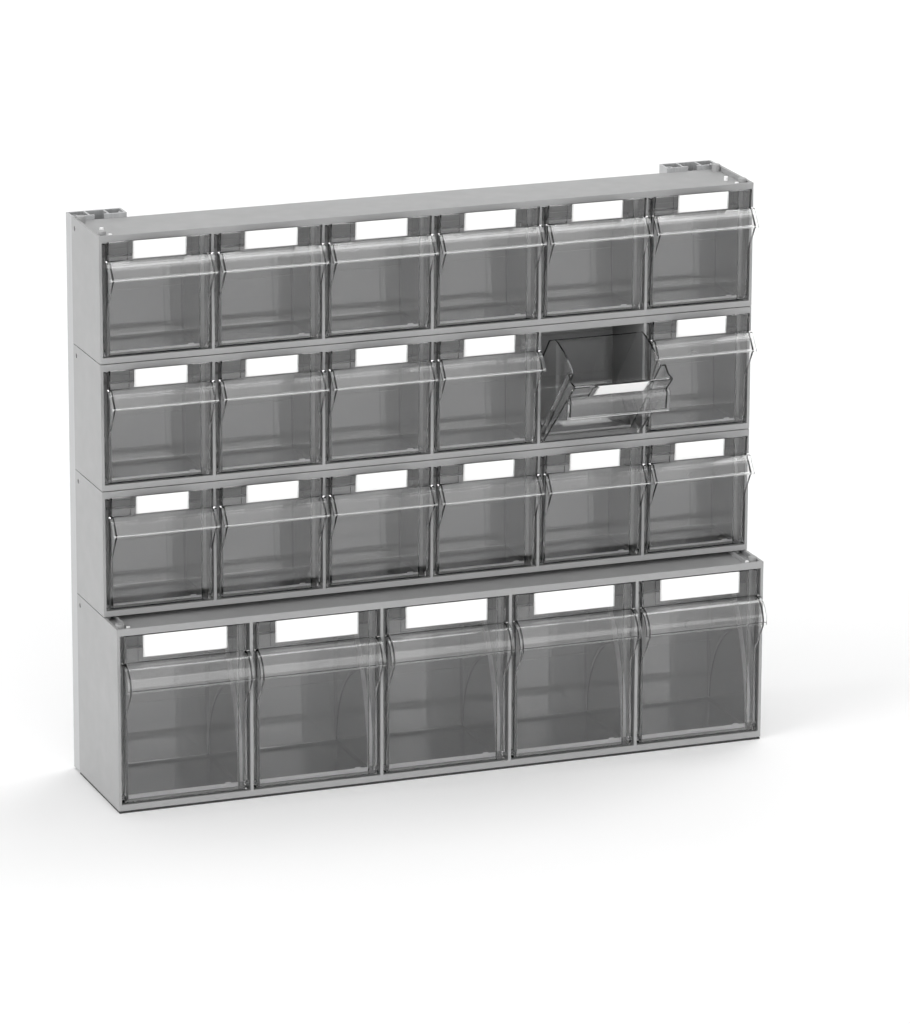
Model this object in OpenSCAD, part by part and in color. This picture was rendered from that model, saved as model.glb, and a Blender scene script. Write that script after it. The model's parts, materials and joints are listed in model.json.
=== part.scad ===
// Wall cabinet of clear tilting bins. Three shallow carcasses of small bins stand on one deeper carcass
// of large bins, and two extruded rails behind them carry the stack on a wall. Each bin tips forward on
// two pins. X runs across the front, Y towards the wall and Z up. The wall plane is Y = 0, and the origin
// is the centre of the four wall holes.

/* [Cabinet] */
// Overall width of the cabinet
cabinet_w = 600; // [560:10:680]
// Height of the feet under the lowest carcass
foot_h = 1.5; // [1:0.1:4]
// Thickness of the two outer side walls
side_t = 2.5; // [2.2:0.1:3.5]
// Thickness of the dividers between two bins
divider_t = 2.5; // [2.4:0.1:3.5]
// Thickness of the deck and the floor of a carcass
deck_t = 1.8; // [1.5:0.1:1.8]
// Thickness of the back panel
back_t = 2.5; // [2:0.1:3]
// Depth of the open recess behind the back panel
back_recess = 2; // [1:0.1:3]
// Thickness of the front edges of the deck and the floor
lip_t = 2.5; // [2:0.1:2.8]
// Drop of the deck under the top rim
deck_drop = 4; // [3.4:0.1:4.2]
// Recess of the floor over the bottom rim
floor_rise = 3.4; // [3:0.1:3.6]
// Height of the groove round the foot of a carcass
seam_h = 0.8; // [0.4:0.1:1.4]
// Depth of the groove round the foot of a carcass
seam_t = 0.6; // [0.3:0.1:1]

/* [Small bins] */
// Number of carcasses with small bins
small_rows = 3; // [1:1:3]
// Number of small bins in one carcass
small_columns = 6; // [5:1:6]
// Height of a small-bin carcass
small_h = 112; // [108:1:124]
// Depth of a small-bin carcass
small_d = 78; // [76:1:96]
// Height of the front sill under a small bin
small_sill = 5.8; // [5.5:0.1:5.9]
// Height of the front lintel over a small bin
small_lintel = 6.2; // [6:0.1:7.2]
// Gap between the front panel of a small bin and each side of its opening
small_gap = 2.5; // [2:0.1:3]
// Inset of the tub from the front panel on each side
small_inset = 4.5; // [3:0.1:6]
// Room between the tub of a small bin and the rear of its carcass
small_tub_room = 17; // [16:1:28]
// Height of the pivot pins above the base of a small-bin carcass
small_pivot_z = 9; // [8.9:0.1:10]
// Distance of the pivot pins behind the front of a small-bin carcass
small_pivot_y = 3.5; // [3.5:0.1:4.5]
// How far the top of a small front panel stands out in front of its foot
small_lean = 7.7; // [5:0.1:9]
// Height of a small front panel over the rim of its tub
small_panel_rise = 4.3; // [1:0.1:5]
// Height of a small label
small_label_h = 15.7; // [12:0.1:18]
// Width of a small label
small_label_w = 47.6; // [40:0.2:52]
// Reach of the small handle lip in front of the panel
small_lip_reach = 14; // [10:0.5:17]
// Depth of the flat ledge at the root of the small handle lip
small_lip_ledge = 4; // [2:0.5:6]
// Drop of the small handle lip below its root
small_lip_drop = 12.5; // [9:0.5:15]
// Height of the side gussets under the root of a small handle lip
small_gusset_h = 41; // [30:0.5:48]
// Height of the raised pads beside a small label
small_pad_h = 11; // [8:0.5:14]
// Height of the rail screws above the base of a small-bin carcass
small_screw_z = 55; // [52:0.5:58]

/* [Large bins] */
// Number of large bins in the bottom carcass
large_columns = 5; // [4:1:5]
// Height of the large-bin carcass
large_h = 164; // [156:1:176]
// Depth of the large-bin carcass
large_d = 115; // [110:1:130]
// Height of the front sill under a large bin
large_sill = 6.2; // [5.8:0.1:6.6]
// Height of the front lintel over a large bin
large_lintel = 6; // [6:0.1:7]
// Gap between the front panel of a large bin and each side of its opening
large_gap = 3; // [2:0.1:3.4]
// Inset of the tub from the front panel on each side
large_inset = 4; // [3:0.1:6]
// Room between the tub of a large bin and the rear of its carcass
large_tub_room = 14; // [13:1:25]
// Height of the pivot pins above the base of the large-bin carcass
large_pivot_z = 12; // [11:0.1:13]
// Distance of the pivot pins behind the front of the large-bin carcass
large_pivot_y = 4.5; // [4.5:0.1:6]
// Height of a large front panel over the rim of its tub
large_panel_rise = 1.2; // [0.5:0.1:1.4]
// Height of a large label
large_label_h = 19.4; // [16:0.2:22.4]
// Width of a large label
large_label_w = 76; // [60:0.5:80]
// Height of the bar under a large label
large_bar_h = 2.4; // [0.8:0.1:3.4]
// Reach of the large handle lip in front of the panel
large_lip_reach = 18.5; // [14:0.5:22]
// Drop of the curved large handle lip below its root
large_lip_drop = 21.5; // [17:0.5:25]
// Height of the side gussets under the root of a large handle lip
large_gusset_h = 50; // [40:0.5:58]
// Height of the raised pads beside a large label
large_pad_h = 21.5; // [16:0.5:24]
// Height of the rail screws above the base of the large-bin carcass
large_screw_z = 77; // [68:0.5:86]

/* [Bin details] */
// Wall thickness of every bin
bin_t = 1.6; // [1.3:0.1:1.8]
// Opening angle at which the foot of a front panel meets the sill
open_angle = 43; // [30:1:44]
// Gap between a bin and the sill or floor that it rests on
rest_gap = 0.3; // [0.2:0.05:0.4]
// Gap between the rim of a bin and the underside of the deck
rim_gap = 2.2; // [2:0.1:5]
// Diameter of the pivot pins
pin_d = 4; // [3:0.1:4]
// Radial clearance of a pin in its hole
pin_clearance = 0.05; // [0.02:0.01:0.1]
// Depth to which a pin enters its hole
pin_bite = 1.1; // [0.8:0.05:1.1]
// How far a handle lip stands out sideways beyond the front panel
lip_over = 1.8; // [0:0.1:2.2]
// Thickness of a label card
card_t = 0.4; // [0.3:0.05:0.5]
// Row, counted from the top, of the bin that stands open
open_row = 2; // [1:1:3]
// Column, counted from the left, of the bin that stands open
open_column = 5; // [1:1:5]

/* [Wall rails] */
// Width of a wall rail
rail_w = 49; // [46:1:56]
// Depth of a wall rail
rail_d = 18; // [16:0.5:22]
// Wall thickness of a wall rail
rail_t = 1.8; // [1.6:0.1:2.2]
// Width of the screw channel inside a rail
channel_w = 15.4; // [14:0.2:16]
// Width of the slot that opens the channel to the front
slot_w = 8.4; // [8:0.1:9]
// Diameter of the holes for the wall screws
wall_hole_d = 6; // [5:0.1:6.5]
// Distance of the wall holes from the top and the bottom of a rail
wall_hole_end = 50; // [30:1:90]

/* [Stacking and fasteners] */
// Diameter of the stacking studs on the top rim
stud_d = 7.5; // [6:0.1:8]
// Height of the stacking studs over the top rim
stud_h = 2; // [1.5:0.1:2.5]
// Distance of the studs from the side of the carcass
stud_x = 6; // [5.6:0.1:8]
// Distance of the front studs from the front of the carcass
stud_front = 11; // [9:0.5:14]
// Distance of the rear studs from the rear of the carcass
stud_rear = 8; // [7.5:0.1:12]
// Diameter of the stacking pins
stack_pin_d = 3.6; // [3:0.1:4]
// Distance of the stacking pins from the side of the carcass
stack_pin_x = 12.5; // [12:0.1:16]
// Diameter of the side holes that join two cabinets
side_hole_d = 4; // [3:0.1:5]
// Distance of the side holes from the rear and from the top
side_hole_edge = 8.5; // [8:0.1:9]
// Thread diameter of the rail screws
screw_d = 5; // [4:0.1:5]
// Diameter of the rail screw heads
screw_head_d = 9; // [8:0.1:10]
// Radial clearance of the rail screws in the carcasses
screw_clearance = 0.25; // [0.1:0.05:0.5]

/* [Hidden] */
row_list = [for (row = [1:small_rows]) row];
small_ids = [for (row = row_list, column = [1:small_columns]) str("r", row, "c", column)];
large_ids = [for (column = [1:large_columns]) str("c", column)];
$fn = 48;

shell_colour = "silver";
clear_colour = [0.35, 0.37, 0.38, 0.45];

cut = 1;                       // overshoot of every cut
overlap = 0.2;                 // how far joined shapes run into each other
stack_h = large_h + small_rows * small_h;
wall_hole_z = foot_h + stack_h / 2;
pin_hole_d = pin_d + 2 * pin_clearance;
small_opening = (cabinet_w - 2 * side_t - (small_columns - 1) * divider_t) / small_columns;
large_opening = (cabinet_w - 2 * side_t - (large_columns - 1) * divider_t) / large_columns;
rail_inset = 0.5;              // inset of the rails from the cabinet's sides
rail_x = cabinet_w / 2 - rail_w / 2 - rail_inset;
floor_top = floor_rise + deck_t;

function pitch(opening) = opening + divider_t;
function cell_x(opening, columns, column) = (column - (columns + 1) / 2) * pitch(opening);
function ceiling_z(h) = h - deck_drop - deck_t;
function row_base(row) = foot_h + large_h + (small_rows - row) * small_h;

// Points on an arc about the pivot, with the angle taken from upright towards the rear
function pivot_arc(r, from, to, steps) =
    [for (i = [0:steps]) let (a = from + (to - from) * i / steps) [r * sin(a), r * cos(a)]];

// Moves the stack from the floor to the origin at the wall holes
module place() {
    translate([0, 0, -wall_hole_z]) children();
}

// Extrudes a side view, drawn as [depth, height] points, across the bin or the carcass
module across(points, width) {
    translate([-width / 2, 0, 0]) rotate([90, 0, 90]) linear_extrude(width) polygon(points);
}

module block(low, high) {
    translate(low) cube(high - low);
}

module both_sides() {
    for (side = [0, 1]) mirror([side, 0, 0]) children();
}

module rod_x(x, length, d) {
    translate([x, 0, 0]) rotate([0, 90, 0]) cylinder(d = d, h = length);
}

// ---------------------------------------------------------------- carcasses

// Raised bands on the inner face of the back panel, as [bottom, top] above the base
small_bands = [[37, 46], [64, 82]];
large_bands = [[41, 60], [94, 120]];
band_t = 0.8;
rib_t = 1.4;
rib_drop = 0.6;               // drop of the deck ribs under the rim
ring_t = 1.6;
boss_d = 12;
stud_clearance = 0.35;
socket_spare = 0.6;            // depth of a socket beyond its stud
hole_spare = 0.3;              // depth of a pivot hole beyond its pin
fit = 0.05;                    // radial clearance of the stacking pins and of the nuts on their screws
small_pins = [8, 32];          // rows of stacking pins, behind the carcass front
large_pins = [8];
pin_sink = 0.3;                // drop of the stacking pins under the rim

// Distances of the studs behind the front of a carcass of depth d under one of depth upper_d
function stud_rows(d, upper_d) = concat(
    d > upper_d ? [stud_front] : [],
    [d - upper_d + stud_front, d - stud_rear]
);

module carcass(d, h, columns, opening, sill, lintel, pivot_y, pivot_z, upper_d, pins, bands, screw_z) {
    inner_d = d - back_recess - back_t;
    ceiling = ceiling_z(h);
    color(shell_colour) difference() {
        union() {
            difference() {
                block([-cabinet_w / 2, 0, seam_h], [cabinet_w / 2, d, h]);
                // foot inside the groove that shows between stacked carcasses
                block([seam_t - cabinet_w / 2, seam_t, 0], [cabinet_w / 2 - seam_t, d, seam_h + overlap]);
                // recess over the deck, inside the rims and behind the front lip
                block([side_t - cabinet_w / 2, lip_t, h - deck_drop],
                      [cabinet_w / 2 - side_t, d + cut, h + cut]);
                for (column = [1:columns]) translate([cell_x(opening, columns, column), 0, 0]) {
                    // front opening, then the roomier cell behind its sill and lintel
                    block([-opening / 2, -cut, sill], [opening / 2, lip_t + cut, h - lintel]);
                    block([-opening / 2, lip_t, floor_top], [opening / 2, inner_d, ceiling]);
                    // recesses under the floor and behind the back panel
                    block([-opening / 2, lip_t, -cut], [opening / 2, d - back_recess, floor_rise]);
                    block([-opening / 2, d - back_recess, floor_top], [opening / 2, d + cut, ceiling]);
                }
            }
            for (column = [1:columns], band = bands)
                translate([cell_x(opening, columns, column), 0, 0])
                    block([-opening / 2, inner_d - band_t, band[0]],
                          [opening / 2, inner_d + overlap, band[1]]);
            both_sides() {
                for (y = stud_rows(d, upper_d))
                    translate([cabinet_w / 2 - stud_x, y, h - deck_drop - overlap])
                        cylinder(d = stud_d, h = deck_drop + stud_h + overlap);
                // sockets for the studs of the carcass below
                for (y = stud_rows(d, d)) translate([cabinet_w / 2 - stud_x, y, 0])
                    cylinder(d = stud_d + 2 * ring_t, h = floor_rise + overlap);
                // boss that seats the back panel on the rail
                translate([rail_x, d - back_recess - overlap, screw_z]) rotate([-90, 0, 0])
                    cylinder(d = boss_d, h = back_recess + overlap);
            }
        }
        both_sides() {
            for (y = stud_rows(d, d)) translate([cabinet_w / 2 - stud_x, y, -cut])
                cylinder(d = stud_d + 2 * stud_clearance, h = cut + stud_h + socket_spare);
            for (y = pins) translate([cabinet_w / 2 - stack_pin_x, y, h - deck_drop - deck_t - cut])
                cylinder(d = stack_pin_d + 2 * fit, h = deck_t + 2 * cut);
            translate([cabinet_w / 2 - side_t - cut, d - side_hole_edge, h - side_hole_edge])
                rod_x(0, side_t + 2 * cut, side_hole_d);
            translate([rail_x, d + cut, screw_z]) rotate([90, 0, 0])
                cylinder(d = screw_d + 2 * screw_clearance, h = 2 * back_t + back_recess + cut);
            translate([0, pivot_y, pivot_z])
                rod_x(cabinet_w / 2 - side_t - cut, cut + pin_bite + hole_spare, pin_hole_d);
        }
        if (columns > 1)
            for (column = [1:columns - 1])
                translate([cell_x(opening, columns, column + 0.5), pivot_y, pivot_z])
                    rod_x(-divider_t / 2 - cut, divider_t + 2 * cut, pin_hole_d);
    }
}

module small_carcass(row) {
    place() translate([0, -rail_d - small_d, row_base(row)])
        carcass(small_d, small_h, small_columns, small_opening, small_sill, small_lintel,
                small_pivot_y, small_pivot_z, small_d, small_pins, small_bands, small_screw_z);
}

module large_carcass() {
    rib_x = cabinet_w / 2 - stack_pin_x;
    place() translate([0, -rail_d - large_d, foot_h]) {
        carcass(large_d, large_h, large_columns, large_opening, large_sill, large_lintel,
                large_pivot_y, large_pivot_z, small_d, large_pins, large_bands, large_screw_z);
        // low ribs on the deck behind the stacking pins
        color(shell_colour) both_sides()
            block([rib_x - rib_t / 2, large_pins[0] + stack_pin_d, large_h - deck_drop - overlap],
                  [rib_x + rib_t / 2, large_d - back_recess, large_h - rib_drop]);
    }
}

// ---------------------------------------------------------------- tilting bins
// Every bin is drawn closed about its pivot axis, with Y to the rear.

foot_y = 4;            // front face of the panel in front of the pivot, at its foot
step_y = 6.5;          // rear of the wide front part of the tub
rear_lean = 2.4;       // draft of the rear wall
apex_cut = 11;         // height of the chamfer at the rear end of the rim
apex_run = 6.5;        // length of that chamfer
corner_r = 5;          // round between the floor and the rear wall
guide_w = 4.2;
guide_t = 1.3;
guide_lip = 1;
pad_t = 0.6;
small_bar_h = 0.8;
card_gap = 0.1;
bead_d = 2.6;
side_inset = 0.4;      // inset of the gussets and the pads from the sides of the panel
boss_t = 1.5;
boss_step = 1.6;

toe_turn = 0.8;        // share of the turn from the floor to the panel's foot that is rounded
toe_steps = 5;
corner_steps = 5;
curve_steps = 10;
label_top = 0.2;       // drop of a label and its holder under the upper edge of the panel
guide_play = 0.3;      // side play of a label between its guides
large_root_drop = 1.7; // drop of the large handle lip under the bar of its label

// Heights and lengths of a bin that follow from its carcass, measured from the pivot axis
small_floor = small_pivot_z - small_sill - rest_gap;
small_rim = ceiling_z(small_h) - small_pivot_z - rim_gap;
small_foot = foot_drop(small_floor);
small_angle = atan(small_lean / (small_rim + small_foot + small_panel_rise));
small_panel = (small_rim + small_foot + small_panel_rise) / cos(small_angle);
small_ledge = small_panel - small_label_h - label_top;
large_floor = large_pivot_z - large_sill - rest_gap;
large_rim = ceiling_z(large_h) - large_pivot_z - rim_gap;
large_foot = foot_drop(large_floor);
large_panel = large_rim + large_foot + large_panel_rise;
large_ledge = large_panel - large_label_h - label_top;

// The foot of the front panel meets the sill at the opening angle
function foot_drop(floor_z) = (floor_z - foot_y * sin(open_angle)) / cos(open_angle);

// Points of the round between the floor and the rear wall
function corner_points(rear_y, floor_z, r) = [for (i = [0:corner_steps]) let (a = 90 * i / corner_steps)
    [rear_y - rear_lean - r * (1 - cos(a)), r * (1 - sin(a)) - floor_z]];

// Outer side view of the tub behind the pivot
function tub_side(rear_y, floor_z, rim) = let (apex = asin((rear_y - apex_run) / rim)) concat(
    [[0, -floor_z]],
    pivot_arc(rim, 0, apex, curve_steps),
    [[rear_y, rim * cos(apex) - apex_cut]],
    corner_points(rear_y, floor_z, corner_r)
);

// A flat prism standing on the panel's outer face, in the panel's own frame
module on_panel(drop, angle) {
    translate([0, -foot_y, -drop]) rotate([angle, 0, 0]) children();
}

// Retainers of the label card: two lipped guides, a bar below it, and a plain pad beyond each guide
module label_holder(label_w, ledge_z, bar_h, top_z, pad_h, pad_half) {
    guide_x = label_w / 2 + guide_play;
    both_sides() {
        difference() {
            block([guide_x, -guide_t, ledge_z], [guide_x + guide_w, overlap, top_z]);
            block([guide_x - cut, -guide_t - cut, ledge_z - cut], [guide_x, overlap + cut, top_z + cut]);
        }
        block([guide_x - guide_lip, -guide_t, ledge_z], [guide_x + overlap, -card_t - 2 * card_gap, top_z]);
        block([guide_x + guide_w - overlap, -pad_t, top_z - pad_h], [pad_half, overlap, top_z]);
    }
    block([-guide_x - guide_w, -guide_t, ledge_z - bar_h], [guide_x + guide_w, overlap, ledge_z]);
}

// Tub with a wide front part, open at the top
module tub(front_half, tub_half, rear_y, floor_z, rim, lean_angle, drop, panel_len) {
    top_y = -foot_y - panel_len * sin(lean_angle);
    top_z = panel_len * cos(lean_angle) - drop;
    inner_shift = bin_t / cos(lean_angle);
    front_y = top_y - cut;
    toe = toe_turn * asin(min(1, foot_y / floor_z));
    difference() {
        intersection() {
            union() {
                across(tub_side(rear_y, floor_z, rim), 2 * tub_half);
                intersection() {
                    across(concat(pivot_arc(floor_z, 180, 180 + toe, toe_steps),
                        [[-foot_y, -drop], [top_y, top_z], [top_y + bin_t, top_z],
                         [max(top_y + bin_t + 2 * overlap, overlap - foot_y), rim],
                         [step_y, sqrt(rim * rim - step_y * step_y)], [step_y, -floor_z]]),
                        2 * front_half);
                    block([-front_half, front_y, -floor_z], [front_half, step_y, 2 * rim]);
                }
            }
            block([-front_half, front_y, -floor_z], [front_half, rear_y + cut, 2 * rim]);
        }
        // inside of the tub, behind the panel
        intersection() {
            across(concat(
                [[rear_y - bin_t, rim * cos(asin((rear_y - apex_run) / rim)) - apex_cut]],
                corner_points(rear_y - bin_t, floor_z - bin_t, corner_r - bin_t),
                [[-foot_y / 2, bin_t - floor_z], [inner_shift - foot_y, -drop],
                 [top_y + inner_shift, top_z], [top_y + inner_shift, 2 * rim], [rear_y - bin_t, 2 * rim]]),
                2 * front_half);
            union() {
                block([bin_t - front_half, front_y, -2 * floor_z],
                      [front_half - bin_t, step_y - bin_t, 3 * rim]);
                block([bin_t - tub_half, front_y, -2 * floor_z],
                      [tub_half - bin_t, rear_y + cut, 3 * rim]);
            }
        }
    }
}

module pivot_pins(front_half, opening) {
    both_sides() {
        rod_x(front_half - overlap, opening / 2 - front_half + pin_bite + overlap, pin_d);
        rod_x(front_half - overlap, boss_t + overlap, pin_d + boss_step);
    }
}

module small_bin() {
    front_half = small_opening / 2 - small_gap;
    lip_half = front_half + lip_over;
    root_z = small_ledge - small_bar_h + overlap;
    color(clear_colour) {
        tub(front_half, front_half - small_inset, small_d - small_tub_room - small_pivot_y, small_floor,
            small_rim, small_angle, small_foot, small_panel);
        on_panel(small_foot, small_angle) {
            label_holder(small_label_w, small_ledge, small_bar_h, small_panel - label_top, small_pad_h,
                         front_half - side_inset);
            // handle lip that slopes down from a ledge to a rounded edge
            across([[overlap, root_z], [-small_lip_ledge, root_z],
                    [-small_lip_reach, root_z - small_lip_drop],
                    [-small_lip_reach, root_z - small_lip_drop - bin_t],
                    [bin_t / 2 - small_lip_ledge, root_z - bin_t],
                    [overlap, root_z - bin_t]],
                   2 * lip_half);
            translate([0, -small_lip_reach, root_z - small_lip_drop - bin_t / 2])
                rod_x(-lip_half, 2 * lip_half, bead_d);
            both_sides() translate([front_half - side_inset - bin_t / 2, 0, 0])
                across([[overlap, root_z], [-small_lip_ledge, root_z],
                        [-small_lip_reach, root_z - small_lip_drop],
                        [overlap, root_z - small_gusset_h]], bin_t);
        }
        pivot_pins(front_half, small_opening);
    }
}

module large_bin() {
    front_half = large_opening / 2 - large_gap;
    lip_half = front_half + lip_over;
    root_z = large_ledge - large_bar_h - large_root_drop;
    curve = [for (i = [0:curve_steps]) let (a = 90 * i / curve_steps)
        [-large_lip_reach * sin(a), root_z - large_lip_drop * (1 - cos(a))]];
    under_curve = [for (i = [0:curve_steps]) let (a = 90 * (1 - i / curve_steps))
        [-(large_lip_reach - bin_t) * sin(a), root_z - large_lip_drop + (large_lip_drop - bin_t) * cos(a)]];
    color(clear_colour) {
        tub(front_half, front_half - large_inset, large_d - large_tub_room - large_pivot_y, large_floor,
            large_rim, 0, large_foot, large_panel);
        on_panel(large_foot, 0) {
            label_holder(large_label_w, large_ledge, large_bar_h, large_panel - label_top, large_pad_h,
                         front_half - side_inset);
            // handle lip that rounds over to the front
            across(concat([[overlap, root_z]], curve, under_curve, [[overlap, root_z - bin_t]]),
                   2 * lip_half);
            translate([0, bead_d / 2 - large_lip_reach, root_z - large_lip_drop])
                rod_x(-lip_half, 2 * lip_half, bead_d);
            both_sides() translate([front_half - side_inset - bin_t / 2, 0, 0])
                across(concat([[overlap, root_z]], curve, [[overlap, root_z - large_gusset_h]]), bin_t);
        }
        pivot_pins(front_half, large_opening);
    }
}

module label_card(width, height, drop, angle, ledge_z) {
    color("white") on_panel(drop, angle)
        block([-width / 2, -card_t - card_gap, ledge_z], [width / 2, -card_gap, ledge_z + height]);
}

module small_label() {
    label_card(small_label_w, small_label_h, small_foot, small_angle, small_ledge);
}

module large_label() {
    label_card(large_label_w, large_label_h, large_foot, 0, large_ledge);
}

function is_open(row, column) = row == open_row && column == open_column;

module at_small_cell(row, column) {
    place() translate([cell_x(small_opening, small_columns, column), -rail_d - small_d + small_pivot_y,
                       row_base(row) + small_pivot_z])
        rotate([is_open(row, column) ? open_angle : 0, 0, 0]) children();
}

module at_large_cell(column) {
    place() translate([cell_x(large_opening, large_columns, column), -rail_d - large_d + large_pivot_y,
                       foot_h + large_pivot_z])
        children();
}

// ---------------------------------------------------------------- rails, pins and feet

port_d = 3.2;          // screw ports in the rail's chambers
port_wall = 1.2;
port_inset = 1.8;
nut_w = 12;
nut_h = 18;
nut_t = 4;
slot_lip = 2;
head_t = 3.2;
screw_end = 1;         // length of a rail screw beyond its nut

module rail() {
    chamber_x = channel_w / 2 + rail_t;
    chamber_w = rail_w / 2 - chamber_x - rail_t;
    port_x = rail_w / 2 - rail_t - port_inset;
    port_y = rail_t - rail_d + port_inset;
    color("gainsboro") place() difference() {
        translate([rail_x, 0, foot_h]) linear_extrude(stack_h) difference() {
            union() {
                difference() {
                    translate([-rail_w / 2, -rail_d]) square([rail_w, rail_d]);
                    // side chambers and the screw channel with its front slot
                    for (x = [chamber_x, -chamber_x - chamber_w])
                        translate([x, rail_t - rail_d]) square([chamber_w, rail_d - 2 * rail_t]);
                    translate([-channel_w / 2, slot_lip - rail_d])
                        square([channel_w, rail_d - slot_lip - rail_t]);
                    translate([-slot_w / 2, -rail_d - cut]) square([slot_w, slot_lip + 2 * cut]);
                }
                for (side = [-1, 1]) translate([side * port_x, port_y]) circle(d = port_d + 2 * port_wall);
            }
            for (side = [-1, 1]) translate([side * port_x, port_y]) circle(d = port_d);
        }
        for (z = [foot_h + wall_hole_end, foot_h + stack_h - wall_hole_end]) translate([rail_x, cut, z])
            rotate([90, 0, 0]) cylinder(d = wall_hole_d, h = rail_t + 2 * cut);
    }
}

// Heights at which each carcass is screwed to the rails
screw_heights = concat([foot_h + large_screw_z], [for (row = row_list) row_base(row) + small_screw_z]);

module rail_screws() {
    inner_y = -rail_d - back_recess - back_t;
    color("darkgray") place() both_sides() for (z = screw_heights) translate([rail_x, inner_y, z])
        rotate([-90, 0, 0]) {
            translate([0, 0, -head_t]) cylinder(d = screw_head_d, h = head_t);
            cylinder(d = screw_d, h = -inner_y - rail_d + slot_lip + nut_t + screw_end);
        }
}

module rail_nuts() {
    color("darkgray") place() both_sides() for (z = screw_heights)
        translate([rail_x, slot_lip - rail_d, z]) difference() {
            block([-nut_w / 2, 0, -nut_h / 2], [nut_w / 2, nut_t, nut_h / 2]);
            translate([0, -cut, 0]) rotate([-90, 0, 0])
                cylinder(d = screw_d + 2 * fit, h = nut_t + 2 * cut);
        }
}

module deck_pins(d, top_z, pins) {
    both_sides() for (y = pins)
        translate([cabinet_w / 2 - stack_pin_x, -rail_d - d + y, top_z - deck_drop - deck_t])
            cylinder(d = stack_pin_d, h = deck_t + deck_drop - pin_sink);
}

module stacking_pins() {
    color("white") place() {
        for (row = row_list) deck_pins(small_d, row_base(row) + small_h, small_pins);
        deck_pins(large_d, foot_h + large_h, large_pins);
    }
}

module feet() {
    color("dimgray") place() both_sides() for (y = stud_rows(large_d, large_d))
        translate([cabinet_w / 2 - stud_x, y - rail_d - large_d, 0]) {
            cylinder(d = stud_d + ring_t, h = foot_h);
            cylinder(d = stud_d, h = foot_h + stud_h);
        }
}

// ---------------------------------------------------------------- nodes

for (row = row_list) small_carcass(row);
large_carcass();  // carcass_large
mirror([1, 0, 0]) rail();  // rail_left
rail();  // rail_right
for (row = row_list, column = [1:small_columns]) {
    at_small_cell(row, column) small_bin();
    at_small_cell(row, column) small_label();
}
for (column = [1:large_columns]) {
    at_large_cell(column) large_bin();
    at_large_cell(column) large_label();
}
stacking_pins();
rail_screws();
rail_nuts();
feet();
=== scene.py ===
import json
import math

import bpy
from mathutils import Matrix, Vector


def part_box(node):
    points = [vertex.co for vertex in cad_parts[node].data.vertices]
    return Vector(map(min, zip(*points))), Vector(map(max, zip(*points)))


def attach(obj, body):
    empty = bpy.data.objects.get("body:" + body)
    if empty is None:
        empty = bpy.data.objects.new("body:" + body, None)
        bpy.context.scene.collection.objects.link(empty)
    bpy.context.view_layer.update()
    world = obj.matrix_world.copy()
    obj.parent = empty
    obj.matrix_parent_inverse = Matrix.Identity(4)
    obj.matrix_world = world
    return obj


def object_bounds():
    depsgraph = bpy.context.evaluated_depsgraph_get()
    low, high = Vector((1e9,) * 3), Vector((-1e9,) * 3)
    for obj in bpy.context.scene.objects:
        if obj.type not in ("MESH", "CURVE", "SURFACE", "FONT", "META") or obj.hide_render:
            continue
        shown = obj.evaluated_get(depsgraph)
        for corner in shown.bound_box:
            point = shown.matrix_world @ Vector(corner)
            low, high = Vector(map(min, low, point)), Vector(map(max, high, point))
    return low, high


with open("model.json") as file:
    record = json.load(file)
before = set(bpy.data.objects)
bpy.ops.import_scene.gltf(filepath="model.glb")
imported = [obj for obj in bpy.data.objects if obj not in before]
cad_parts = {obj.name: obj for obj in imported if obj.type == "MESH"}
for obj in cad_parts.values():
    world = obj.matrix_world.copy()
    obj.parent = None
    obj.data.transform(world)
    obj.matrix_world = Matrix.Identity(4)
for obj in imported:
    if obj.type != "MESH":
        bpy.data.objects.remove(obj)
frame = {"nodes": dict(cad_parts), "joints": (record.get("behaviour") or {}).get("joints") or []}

cad_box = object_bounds()

# The looks of the parts bin cabinet: its finishes and edges, its finest mouldings, and the studio round it.
# The frame counts in metres. Sizes named in this script are in millimetres, and angles are in degrees.
MM = 0.001
scene = bpy.context.scene

# ------------------------------------------------------------------ shader helpers


def new_material(name):
    """An empty material, with its node tree and its surface shader."""
    material = bpy.data.materials.new(name)
    material.use_nodes = True
    tree = material.node_tree
    tree.nodes.clear()
    surface = tree.nodes.new("ShaderNodeBsdfPrincipled")
    output = tree.nodes.new("ShaderNodeOutputMaterial")
    tree.links.new(surface.outputs["BSDF"], output.inputs["Surface"])
    return material, tree, surface


def noise(tree, scale, detail=2.0, roughness=0.5, stretch=(1, 1, 1)):
    """Noise in the object's own coordinates, in metres, stretched along its axes."""
    where = tree.nodes.new("ShaderNodeTexCoord")
    mapping = tree.nodes.new("ShaderNodeMapping")
    mapping.inputs["Scale"].default_value = stretch
    tree.links.new(where.outputs["Object"], mapping.inputs["Vector"])
    texture = tree.nodes.new("ShaderNodeTexNoise")
    texture.inputs["Scale"].default_value = scale
    texture.inputs["Detail"].default_value = detail
    texture.inputs["Roughness"].default_value = roughness
    tree.links.new(mapping.outputs["Vector"], texture.inputs["Vector"])
    return texture.outputs["Fac"]


def vary(tree, surface, socket, value, low, high, between=(0.3, 0.7)):
    """Runs a socket of the surface from low to high, colours or greys, as value goes between two levels."""
    ramp = tree.nodes.new("ShaderNodeValToRGB")
    for point, position, colour in zip(ramp.color_ramp.elements, between, (low, high)):
        point.position = position
        point.color = (*colour, 1) if isinstance(colour, tuple) else (colour, colour, colour, 1)
    tree.links.new(value, ramp.inputs["Fac"])
    tree.links.new(ramp.outputs["Color"], surface.inputs[socket])


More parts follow.
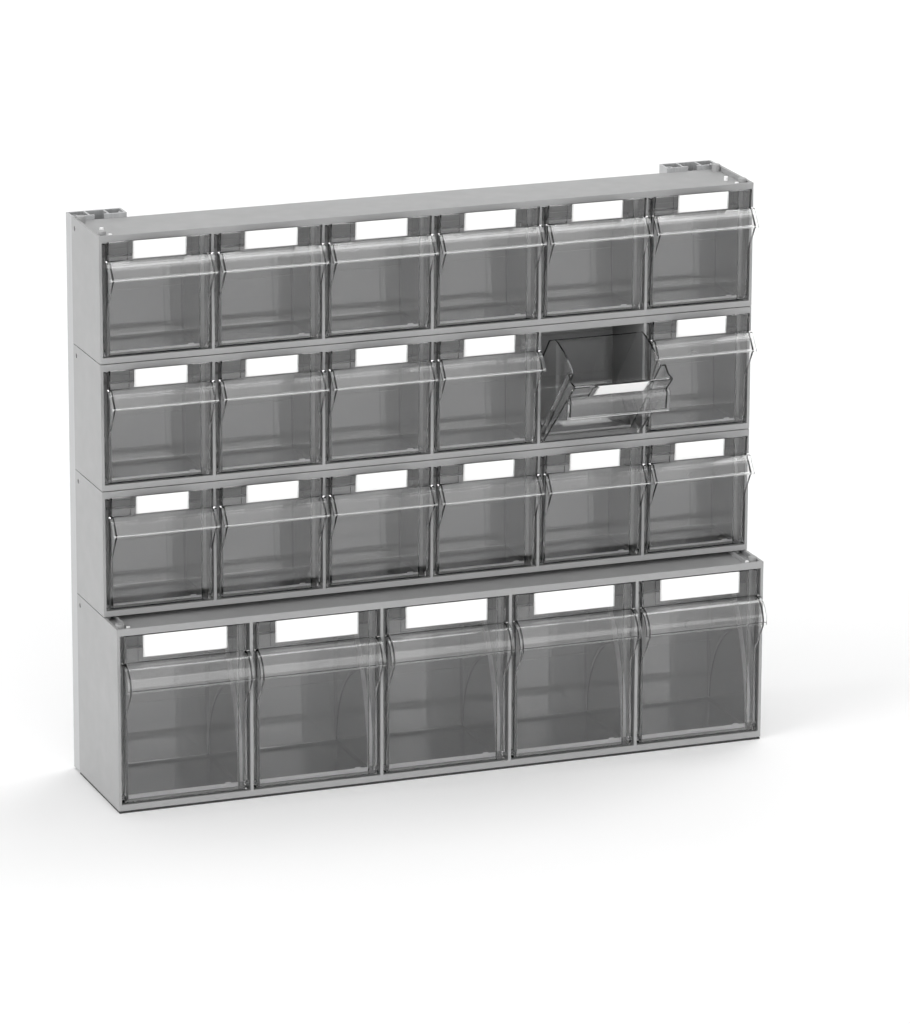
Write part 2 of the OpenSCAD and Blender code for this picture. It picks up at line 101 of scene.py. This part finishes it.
def bump(tree, height, distance, strength=1.0, under=None):
    """The normal of a surface that height raises by up to distance, over another bump if one is given."""
    node = tree.nodes.new("ShaderNodeBump")
    node.inputs["Strength"].default_value = strength
    node.inputs["Distance"].default_value = distance
    tree.links.new(height, node.inputs["Height"])
    if under:
        tree.links.new(under, node.inputs["Normal"])
    return node.outputs["Normal"]


# ------------------------------------------------------------------ materials


def grey_plastic(tree, surface):
    """Satin moulded plastic with a fine spark-eroded grain and faint flow marks."""
    flow_marks = noise(tree, 9, 4, 0.6, (1, 1, 2.5))
    vary(tree, surface, "Base Color", flow_marks, (0.305, 0.306, 0.307), (0.327, 0.328, 0.329))
    vary(tree, surface, "Roughness", noise(tree, 60, 3), 0.42, 0.52)
    grain = bump(tree, noise(tree, 2600, 2, 0.6), 0.03 * MM, 0.5)
    tree.links.new(bump(tree, noise(tree, 30, 1), 0.15 * MM, 0.3, grain), surface.inputs["Normal"])
    surface.inputs["IOR"].default_value = 1.46


def clear_plastic(tree, surface):
    """Clear styrene: polished, with faint mould waviness."""
    surface.inputs["Base Color"].default_value = (0.99, 0.99, 0.99, 1)
    surface.inputs["Transmission Weight"].default_value = 1.0
    surface.inputs["IOR"].default_value = 1.57
    vary(tree, surface, "Roughness", noise(tree, 45, 3), 0.0, 0.012, between=(0.45, 0.8))
    waves = noise(tree, 18, 1, 0.5, (1, 1, 0.6))
    tree.links.new(bump(tree, waves, 0.02 * MM, 0.15), surface.inputs["Normal"])


def satin_edge(tree, surface):
    """The clear plastic where its mould leaves it satin, along ribs and edges, so that it scatters light.
    Along the bead's parting line its pale tone is also a painted highlight, in place of the bead's glint.
    """
    surface.inputs["Base Color"].default_value = (0.95, 0.95, 0.95, 1)
    surface.inputs["Transmission Weight"].default_value = 0.4
    surface.inputs["IOR"].default_value = 1.5
    vary(tree, surface, "Roughness", noise(tree, 400, 3), 0.28, 0.4)


def label_card(tree, surface):
    """Plain white card with a faint paper tooth."""
    vary(tree, surface, "Base Color", noise(tree, 700, 4, 0.65), (0.905, 0.905, 0.90), (0.935, 0.935, 0.93))
    vary(tree, surface, "Roughness", noise(tree, 300, 2), 0.62, 0.78)
    tree.links.new(bump(tree, noise(tree, 1800, 3, 0.7), 0.02 * MM, 0.6), surface.inputs["Normal"])


def rail_metal(tree, surface):
    """Anodised aluminium extrusion with long die lines."""
    lines = noise(tree, 900, 3, 0.6, (1, 1, 0.012))
    vary(tree, surface, "Base Color", lines, (0.42, 0.425, 0.43), (0.50, 0.505, 0.51))
    vary(tree, surface, "Roughness", lines, 0.32, 0.44)
    tree.links.new(bump(tree, lines, 0.02 * MM, 0.5), surface.inputs["Normal"])
    surface.inputs["Metallic"].default_value = 0.6


def white_plastic(tree, surface):
    """Smooth white moulded plastic."""
    vary(tree, surface, "Base Color", noise(tree, 200, 2), 0.86, 0.90)
    vary(tree, surface, "Roughness", noise(tree, 400, 2), 0.30, 0.42)


def zinc_steel(tree, surface):
    """Zinc-plated steel, faintly mottled."""
    spots = noise(tree, 500, 4, 0.6)
    vary(tree, surface, "Base Color", spots, (0.26, 0.265, 0.27), (0.34, 0.345, 0.35))
    vary(tree, surface, "Roughness", spots, 0.42, 0.55)
    surface.inputs["Metallic"].default_value = 1.0


def dark_plastic(tree, surface):
    """Nearly black moulded plastic with a fine grain."""
    vary(tree, surface, "Base Color", noise(tree, 300, 3), 0.030, 0.045)
    vary(tree, surface, "Roughness", noise(tree, 900, 2), 0.55, 0.7)
    tree.links.new(bump(tree, noise(tree, 2500, 2), 0.03 * MM, 0.5), surface.inputs["Normal"])


def made_of(describe):
    """The material that a function describes, under that function's name."""
    material, tree, surface = new_material(describe.__name__)
    describe(tree, surface)
    return material


FINISHES = {
    describe.__name__: made_of(describe)
    for describe in (
        grey_plastic, clear_plastic, satin_edge, label_card,
        rail_metal, white_plastic, zinc_steel, dark_plastic,
    )
}
# The finish of each kind of node, which is also its slot in the record
FINISH_OF = {
    "carcass": "grey_plastic",
    "small_bin": "clear_plastic",
    "large_bin": "clear_plastic",
    "small_label": "label_card",
    "large_label": "label_card",
    "rail_left": "rail_metal",
    "rail_right": "rail_metal",
    "stacking_pins": "white_plastic",
    "rail_screws": "zinc_steel",
    "rail_nuts": "zinc_steel",
    "feet": "dark_plastic",
}
# The width of the round on the sharp edges. The bins and the labels keep crisp edges.
ROUND_OF = {
    "carcass": 0.35,
    "rail_left": 0.25,
    "rail_right": 0.25,
    "stacking_pins": 0.3,
    "rail_screws": 0.4,
    "rail_nuts": 0.4,
    "feet": 0.3,
}


def kind_of(name, table):
    """What a table says of the kind of node that a name starts with, or None."""
    return next((value for start, value in table.items() if name.startswith(start)), None)


# ------------------------------------------------------------------ edges and shading of the CAD nodes

# Corners nearer to each other than this are one corner
WELD = 0.002
# An edge that turns by less than FLAT_TURN is none, and one that turns by more than SHARP_TURN is rounded
FLAT_TURN, SHARP_TURN = 1, 40
# Edges that turn by less than these shade smooth: on the rounded nodes, and along the handle lips of the bins
ROUND_TURN, LIP_TURN = 50, 55
# Widths of the small and the large handle lip, over all and between the gussets, give or take LIP_GIVE
LIP_WIDTHS, LIP_GIVE = (95.68, 88.08, 114.6, 107.0), 0.15


def shading_group(name, pick_smooth):
    """A modifier group that shades smooth across the edges that pick_smooth finds, and keeps others crisp."""
    group = bpy.data.node_groups.new(name, "GeometryNodeTree")
    for in_out in ("INPUT", "OUTPUT"):
        group.interface.new_socket(name="Geometry", in_out=in_out, socket_type="NodeSocketGeometry")

    def node(kind, *links, **settings):
        new = group.nodes.new(kind)
        for key, value in settings.items():
            setattr(new, key, value)
        for socket, source in links:
            group.links.new(source, new.inputs[socket])
        return new

    plain = node("GeometryNodeRemoveAttribute")
    plain.inputs["Name"].default_value = "custom_normal"
    faces = node("GeometryNodeSetShadeSmooth", domain="FACE")
    edges = node("GeometryNodeSetShadeSmooth", ("Shade Smooth", pick_smooth(node)), domain="EDGE")
    chain = (node("NodeGroupInput"), plain, faces, edges, node("NodeGroupOutput"))
    for one, other in zip(chain, chain[1:]):
        group.links.new(one.outputs[0], other.inputs[0])
    return group


def edge_turn(node):
    """The angle between the faces on the two sides of each edge."""
    return node("GeometryNodeInputMeshEdgeAngle").outputs["Unsigned Angle"]


def rounded_edges(node):
    """Picks the edges that a rounded corner leaves, and all that are flatter."""
    flatter = node("FunctionNodeCompare", (0, edge_turn(node)), data_type="FLOAT", operation="LESS_EQUAL")
    flatter.inputs[1].default_value = math.radians(ROUND_TURN)
    return flatter.outputs["Result"]


def lip_edges(node):
    """Picks the flat edges and those along a handle lip, the only ones as long as the lip is wide."""

    def near(value, target, give):
        close = node("FunctionNodeCompare", (0, value), data_type="FLOAT", operation="EQUAL")
        close.inputs[1].default_value = target
        close.inputs["Epsilon"].default_value = give
        return close.outputs["Result"]

    def combine(one, operation, other):
        return node("FunctionNodeBooleanMath", (0, one), (1, other), operation=operation).outputs[0]

    ends = node("GeometryNodeInputMeshEdgeVertices").outputs
    one_end, other_end = (0, ends["Position 1"]), (1, ends["Position 2"])
    span = node("ShaderNodeVectorMath", one_end, other_end, operation="SUBTRACT")
    across = node("ShaderNodeSeparateXYZ", (0, span.outputs["Vector"])).outputs["X"]
    width = node("ShaderNodeMath", (0, across), operation="ABSOLUTE").outputs[0]
    of_lip = near(width, LIP_WIDTHS[0] * MM, LIP_GIVE * MM)
    for other in LIP_WIDTHS[1:]:
        of_lip = combine(of_lip, "OR", near(width, other * MM, LIP_GIVE * MM))
    turn = edge_turn(node)
    curved = combine(of_lip, "AND", near(turn, 0, math.radians(LIP_TURN)))
    return combine(near(turn, 0, math.radians(FLAT_TURN)), "OR", curved)


SMOOTH_FACES = shading_group("smooth_faces", rounded_edges)
LIP_FACES = shading_group("lip_faces", lip_edges)


def weld(piece):
    """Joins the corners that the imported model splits."""
    piece.modifiers.new("weld", "WELD").merge_threshold = WELD * MM


def soften(piece, width):
    """Rounds the sharp edges and shades them smooth."""
    weld(piece)
    flat = piece.modifiers.new("flat_faces", "DECIMATE")
    flat.decimate_type = "DISSOLVE"
    flat.angle_limit = math.radians(FLAT_TURN)
    edge = piece.modifiers.new("rounded_edges", "BEVEL")
    edge.width = width * MM
    edge.segments = 2
    edge.limit_method = "ANGLE"
    edge.angle_limit = math.radians(SHARP_TURN)
    piece.modifiers.new("smooth_faces", "NODES").node_group = SMOOTH_FACES
    piece.modifiers.new("flat_normals", "WEIGHTED_NORMAL").keep_sharp = True


for name, piece in frame["nodes"].items():
    finish = kind_of(name, FINISH_OF)
    piece.data.materials.clear()
    piece.data.materials.append(FINISHES[finish])
    if kind_of(name, ROUND_OF):
        soften(piece, kind_of(name, ROUND_OF))
    elif finish == "clear_plastic":
        weld(piece)
        piece.modifiers.new("lip_faces", "NODES").node_group = LIP_FACES

# ------------------------------------------------------------------ fine mouldings of the bins


def new_piece(name, points, faces, finish):
    """A mesh of its own, from points in metres."""
    mesh = bpy.data.meshes.new(name)
    mesh.from_pydata(points, [], faces)
    mesh.materials.append(FINISHES[finish])
    piece = bpy.data.objects.new(name, mesh)
    scene.collection.objects.link(piece)
    return piece


def on_bin(name, tilt, prisms, finish="satin_edge"):
    """Joins prisms into one piece of the bin that a tilt joint carries.

    A prism is a list of equal closed sections, from the bin's pivot and with the bin closed. At rest a bin
    stands as far open as its joint can go below zero."""
    turn = Matrix.Rotation(math.radians(-tilt["range_deg"][0]), 3, "X")
    pivot = Vector(tilt["pos_m"])
    points, faces = [], []
    for sections in prisms:
        start, count = len(points), len(sections[0])
        points += [turn @ Vector(point) * MM + pivot for section in sections for point in section]
        last = start + count * (len(sections) - 1)
        faces.append([start + i for i in reversed(range(count))])
        faces.append([last + i for i in range(count)])
        for here in range(start, last, count):
            for i in range(count):
                j = (i + 1) % count
                faces.append([here + i, here + j, here + count + j, here + count + i])
    piece = new_piece(name, points, faces, finish)
    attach(piece, tilt["child"])


# The rib across a tub's floor: its front, its back, the round of its top and the gap under it
RIB_FRONT, RIB_BACK, RIB_ROUND, RIB_GAP = 4.9, 6.5, 0.5, 0.03
# The step that the moulding gate leaves on the rib: its width, its rise and the run of its slopes
GATE_W, GATE_RISE, GATE_SLOPE = 5.0, 1.0, 0.4
# For each size of bin: half the width inside, the heights of the floor and of the rib, and the gate's place
SMALL_RIB = {"half": 39.9, "floor": -1.3, "top": 0.4, "gate_x": 30}
LARGE_RIB = {"half": 49.8, "floor": -3.9, "top": -0.3, "gate_x": 38}


def rib(half, floor, top, gate_x):
    """A low rib from side to side over a tub's floor, rounded on top, with the moulding gate's small step."""
    low = floor + RIB_GAP
    quarter = [(math.cos(math.radians(a)), math.sin(math.radians(a))) for a in (0, 30, 60, 90)]

    def section(x, high):
        back = [(RIB_BACK - RIB_ROUND * (1 - c), high - RIB_ROUND * (1 - s)) for c, s in quarter]
        front = [(RIB_FRONT + RIB_ROUND * (1 - c), high - RIB_ROUND * (1 - s)) for c, s in reversed(quarter)]
        return [(x, y, z) for y, z in [(RIB_FRONT, low), (RIB_BACK, low)] + back + front]

    gate_end = gate_x + GATE_W
    heights = [
        (-half, top),
        (gate_x, top),
        (gate_x + GATE_SLOPE, top + GATE_RISE),
        (gate_end, top + GATE_RISE),
        (gate_end + GATE_SLOPE, top),
        (half, top),
    ]
    return [section(x, high) for x, high in heights]


# The bead along the foot of a small lip: its centre and its radius
BEAD_Y, BEAD_Z, BEAD_R = -23.36, 68.51, 1.3
# The raised parting line on the bead, in satin plastic whose pale line is a painted highlight for the bead's
# glint: half its length, its turn up from the bead's front and its spread either way
LINE_HALF, LINE_TURN, LINE_SPREAD = 47.2, 14, 12
# How far the line's ridge, its edges and its root stand out from the bead's face
LINE_RIDGE, LINE_EDGE, LINE_ROOT = 0.14, 0.02, -0.1


def parting_line_glint():
    """A fine raised line along the front of a small lip's bead, in satin plastic: its pale line is a painted
    highlight where the bead glints.
    """

    def at(x, rise, turn):
        reach, turn = BEAD_R + rise, math.radians(turn)
        return (x, BEAD_Y - reach * math.cos(turn), BEAD_Z + reach * math.sin(turn))

    outline = (
        (LINE_EDGE, LINE_TURN - LINE_SPREAD),
        (LINE_RIDGE, LINE_TURN),
        (LINE_EDGE, LINE_TURN + LINE_SPREAD),
        (LINE_ROOT, LINE_TURN),
    )
    return [[at(x, rise, turn) for rise, turn in outline] for x in (-LINE_HALF, LINE_HALF)]


def band(path, thick, x0, x1):
    """A strip thick across its path in side view, from x0 to x1, where x1 is further right."""
    sections = []
    for i, (y, z) in enumerate(path):
        (y0, z0), (y1, z1) = path[max(i - 1, 0)], path[min(i + 1, len(path) - 1)]
        half = thick / 2 / math.hypot(y1 - y0, z1 - z0)
        dy, dz = (z0 - z1) * half, (y1 - y0) * half
        under, over = (y - dy, z - dz), (y + dy, z + dz)
        sections.append([(x0, *under), (x0, *over), (x1, *over), (x1, *under)])
    return sections


def on_both_sides(path, thick, inner, outer):
    """The same band on the right and on the left, between inner and outer from the bin's middle."""
    return [band(path, thick, x0, x1) for x0, x1 in ((inner, outer), (-outer, -inner))]


# The web outside each side of a large tub: its foot, its height, its thickness, the radius of its curve and
# the height of its facets
WEB_Y, WEB_TOP, WEB_T, WEB_CURVE, WEB_STEP = 7.2, 126, 1.2, 183, 6
# The outer faces of the tub and of the web
TUB_OUT, WEB_OUT = 51.53, 55.2


def webs():
    """The webs beside a large tub, which curve back from the panel."""
    path = [(WEB_Y + z * z / (2 * WEB_CURVE), z) for z in range(0, WEB_TOP + 1, WEB_STEP)]
    return on_both_sides(path, WEB_T, TUB_OUT, WEB_OUT)


# The low arc inside each side of a large tub: its radius, and the turns of its ends and of its facets
ARC_R, ARC_FROM, ARC_TO, ARC_STEP = 88, 18, 90, 4
# Its width, its thickness and the tub's inner face
ARC_W, ARC_T, TUB_IN = 3.4, 0.4, 49.87


def arcs():
    """The arcs on the inner faces of a large tub, round the pivot."""
    turns = [math.radians(a) for a in range(ARC_FROM, ARC_TO + 1, ARC_STEP)]
    path = [(ARC_R * math.sin(a), ARC_R * math.cos(a)) for a in turns]
    return on_both_sides(path, ARC_W, TUB_IN - ARC_T, TUB_IN)


for tilt in frame["joints"]:
    # The joints are tilt_r1c1 and so on for the small bins, and tilt_large_c1 and so on for the large ones
    kind, _, cell = tilt["name"].removeprefix("tilt_").rpartition("_")
    if kind == "large":
        on_bin("large_ribs_" + cell, tilt, [rib(**LARGE_RIB)] + webs())
        on_bin("large_arcs_" + cell, tilt, arcs(), "clear_plastic")
    else:
        # The satin parting line on each small bead is a painted highlight for the bead's glint.
        on_bin("small_ribs_" + cell, tilt, [rib(**SMALL_RIB), parting_line_glint()])

# ------------------------------------------------------------------ painted shadow: a thin dark strip under the lowest carcass

# How far in from the carcass's edges the painted shadow strip lies, its width, and how much each side of its
# foot is cut back
SHADOW_STRIP_INSET, SHADOW_STRIP_W, SHADOW_STRIP_TAPER = 0.4, 1.0, 0.2
# How deep below the carcass its top, the bend in its sides and its foot lie
SHADOW_STRIP_TOP, SHADOW_STRIP_BEND, SHADOW_STRIP_FOOT = 0.02, 1.0, 1.42


def painted_shadow_strip(low, high):
    """A closed dark strip round the underside of a node that has these corners: painted shadow, which stands
    in for the contact shade under its edges.
    """
    inner = SHADOW_STRIP_INSET + SHADOW_STRIP_W
    outline = (
        (SHADOW_STRIP_INSET, SHADOW_STRIP_TOP),
        (SHADOW_STRIP_INSET, SHADOW_STRIP_BEND),
        (SHADOW_STRIP_INSET + SHADOW_STRIP_TAPER, SHADOW_STRIP_FOOT),
        (inner - SHADOW_STRIP_TAPER, SHADOW_STRIP_FOOT),
        (inner, SHADOW_STRIP_BEND),
        (inner, SHADOW_STRIP_TOP),
    )
    points = []
    for inset, depth in outline:
        x0, x1 = low.x + inset * MM, high.x - inset * MM
        y0, y1 = low.y + inset * MM, high.y - inset * MM
        points += [(x, y, low.z - depth * MM) for x, y in ((x0, y0), (x1, y0), (x1, y1), (x0, y1))]
    faces = []
    for ring in range(len(outline)):
        here, after = ring * 4, (ring + 1) % len(outline) * 4
        for i in range(4):
            j = (i + 1) % 4
            faces.append([after + i, after + j, here + j, here + i])
    # The dark plastic of this strip is painted shadow: under the carcass's edges there is only contact shade.
    piece = new_piece("painted_shadow_strip", points, faces, "dark_plastic")
    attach(piece, "cabinet")


# Puts the painted shadow strip under the lowest carcass.
painted_shadow_strip(*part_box("carcass_large"))

# ------------------------------------------------------------------ floor and light

scene.view_settings.view_transform = "Standard"


def looked_at(tree):
    """1 for rays that show what lies there, and 0 for those that only carry its light."""
    path = tree.nodes.new("ShaderNodeLightPath").outputs
    seen = path["Is Camera Ray"]
    for other in ("Is Glossy Ray", "Is Transmission Ray"):
        either = tree.nodes.new("ShaderNodeMath")
        either.operation = "MAXIMUM"
        tree.links.new(seen, either.inputs[0])
        tree.links.new(path[other], either.inputs[1])
        seen = either.outputs[0]
    return seen


def pale_floor(half, height):
    """A square floor, in metres, which looks a little paler than it lights the object."""
    mesh = bpy.data.meshes.new("floor")
    corners = [(-half, -half), (half, -half), (half, half), (-half, half)]
    mesh.from_pydata([(x, y, height) for x, y in corners], [], [(0, 1, 2, 3)])
    floor = bpy.data.objects.new("floor", mesh)
    scene.collection.objects.link(floor)
    material, tree, surface = new_material("pale_floor")
    surface.inputs["Roughness"].default_value = 0.9
    surface.inputs["Specular IOR Level"].default_value = 0.1
    vary(tree, surface, "Base Color", looked_at(tree), 0.85, 0.94, between=(0.0, 1.0))
    mesh.materials.append(material)


def studio_world(level, zenith, front, lobe):
    """A sky that gives level at the horizon, zenith overhead, and front more where the object faces.

    It looks white. The higher lobe is, the narrower is the glow in front."""
    world = bpy.data.worlds.new("studio")
    scene.world = world
    world.use_nodes = True
    tree = world.node_tree
    tree.nodes.clear()

    def math_node(operation, *values):
        node = tree.nodes.new("ShaderNodeMath")
        node.operation = operation
        for socket, value in zip(node.inputs, values):
            if isinstance(value, (int, float)):
                socket.default_value = value
            else:
                tree.links.new(value, socket)
        return node.outputs[0]

    toward = tree.nodes.new("ShaderNodeTexCoord")
    axes = tree.nodes.new("ShaderNodeSeparateXYZ")
    tree.links.new(toward.outputs["Generated"], axes.inputs[0])
    up = math_node("MAXIMUM", axes.outputs["Z"], 0)
    ahead = math_node("MAXIMUM", math_node("MULTIPLY", axes.outputs["Y"], -1), 0)
    even = math_node("MULTIPLY_ADD", up, zenith - level, level)
    sky = math_node("MULTIPLY_ADD", math_node("POWER", ahead, lobe), front, even)
    light, white = (tree.nodes.new("ShaderNodeBackground") for _ in range(2))
    for background in (light, white):
        background.inputs["Color"].default_value = (1, 1, 1, 1)
    tree.links.new(sky, light.inputs["Strength"])
    mix = tree.nodes.new("ShaderNodeMixShader")
    output = tree.nodes.new("ShaderNodeOutputWorld")
    tree.links.new(looked_at(tree), mix.inputs["Fac"])
    tree.links.new(light.outputs[0], mix.inputs[1])
    tree.links.new(white.outputs[0], mix.inputs[2])
    tree.links.new(mix.outputs["Shader"], output.inputs["Surface"])


def hang(name, lamp, toward):
    """Puts a lamp in the scene, shining toward a direction."""
    holder = bpy.data.objects.new(name, lamp)
    holder.rotation_euler = Vector(toward).to_track_quat("-Z", "Y").to_euler()
    scene.collection.objects.link(holder)
    return holder


def soft_box(name, place, aim, size, radiance):
    """A rectangular lamp, in metres, whose face looks as bright as radiance, where 1 is white."""
    lamp = bpy.data.lights.new(name, "AREA")
    lamp.shape = "RECTANGLE"
    lamp.size, lamp.size_y = size
    lamp.energy = radiance * size[0] * size[1] * math.pi
    hang(name, lamp, Vector(aim) - Vector(place)).location = place


def wide_lamp(name, toward, level, spread, through_clear=True):
    """A wide even lamp from far away, which lights a white surface facing it to level.

    Where through_clear is off, it doesn't show through the clear plastic."""
    lamp = bpy.data.lights.new(name, "SUN")
    lamp.energy = level * math.pi
    lamp.angle = math.radians(spread)
    hang(name, lamp, toward).visible_transmission = through_clear


pale_floor(half=12, height=cad_box[0].z)
studio_world(level=0.8, zenith=0.624, front=0.32, lobe=5)
wide_lamp("front_light", toward=(0.12, 0.95, -0.3), level=0.3, spread=60)
wide_lamp("key", toward=(0.9, 0.22, -0.34), level=0.48, spread=45, through_clear=False)
wide_lamp("top_light", toward=(-0.34, -0.18, -0.92), level=0.17, spread=26)
soft_box("edge_light", place=(0.75, 0.7, 1.95), aim=(0, -0.1, 0), size=(0.9, 0.25), radiance=5)

# ------------------------------------------------------------------ camera

# The photograph's viewpoint: the turns of the view, the focal length in pixels of the 910 x 1024 picture, and
# where the origin lies from the lens, to the right, down and ahead
VIEW_PITCH, VIEW_YAW, VIEW_ROLL = 16.118, -20.702, 0.206
FOCAL_PX, PICTURE_H = 5929.9, 1024
ORIGIN_FROM_LENS = (-53.87, -45.01, 5248.8)
SENSOR = 36


def photo_camera():
    """A camera at the photograph's viewpoint, without shift."""
    # Before its turns the view is level and faces +Y, and its axes are to the right, down and ahead
    level = Matrix(((1, 0, 0), (0, 0, -1), (0, 1, 0)))
    turn = (Matrix.Rotation(math.radians(VIEW_ROLL), 3, "Z")
            @ Matrix.Rotation(math.radians(VIEW_PITCH), 3, "X")
            @ Matrix.Rotation(math.radians(VIEW_YAW), 3, "Y"))
    view = turn @ level
    lens = bpy.data.cameras.new("camera")
    lens.sensor_width = SENSOR
    lens.lens = FOCAL_PX * SENSOR / PICTURE_H
    lens.clip_start, lens.clip_end = 0.1, 100
    camera = bpy.data.objects.new("camera", lens)
    place = -(view.transposed() @ Vector(ORIGIN_FROM_LENS)) * MM
    axes = Matrix((view[0], -view[1], -view[2])).transposed()
    camera.matrix_world = Matrix.Translation(place) @ axes.to_4x4()
    scene.collection.objects.link(camera)
    scene.camera = camera


photo_camera()
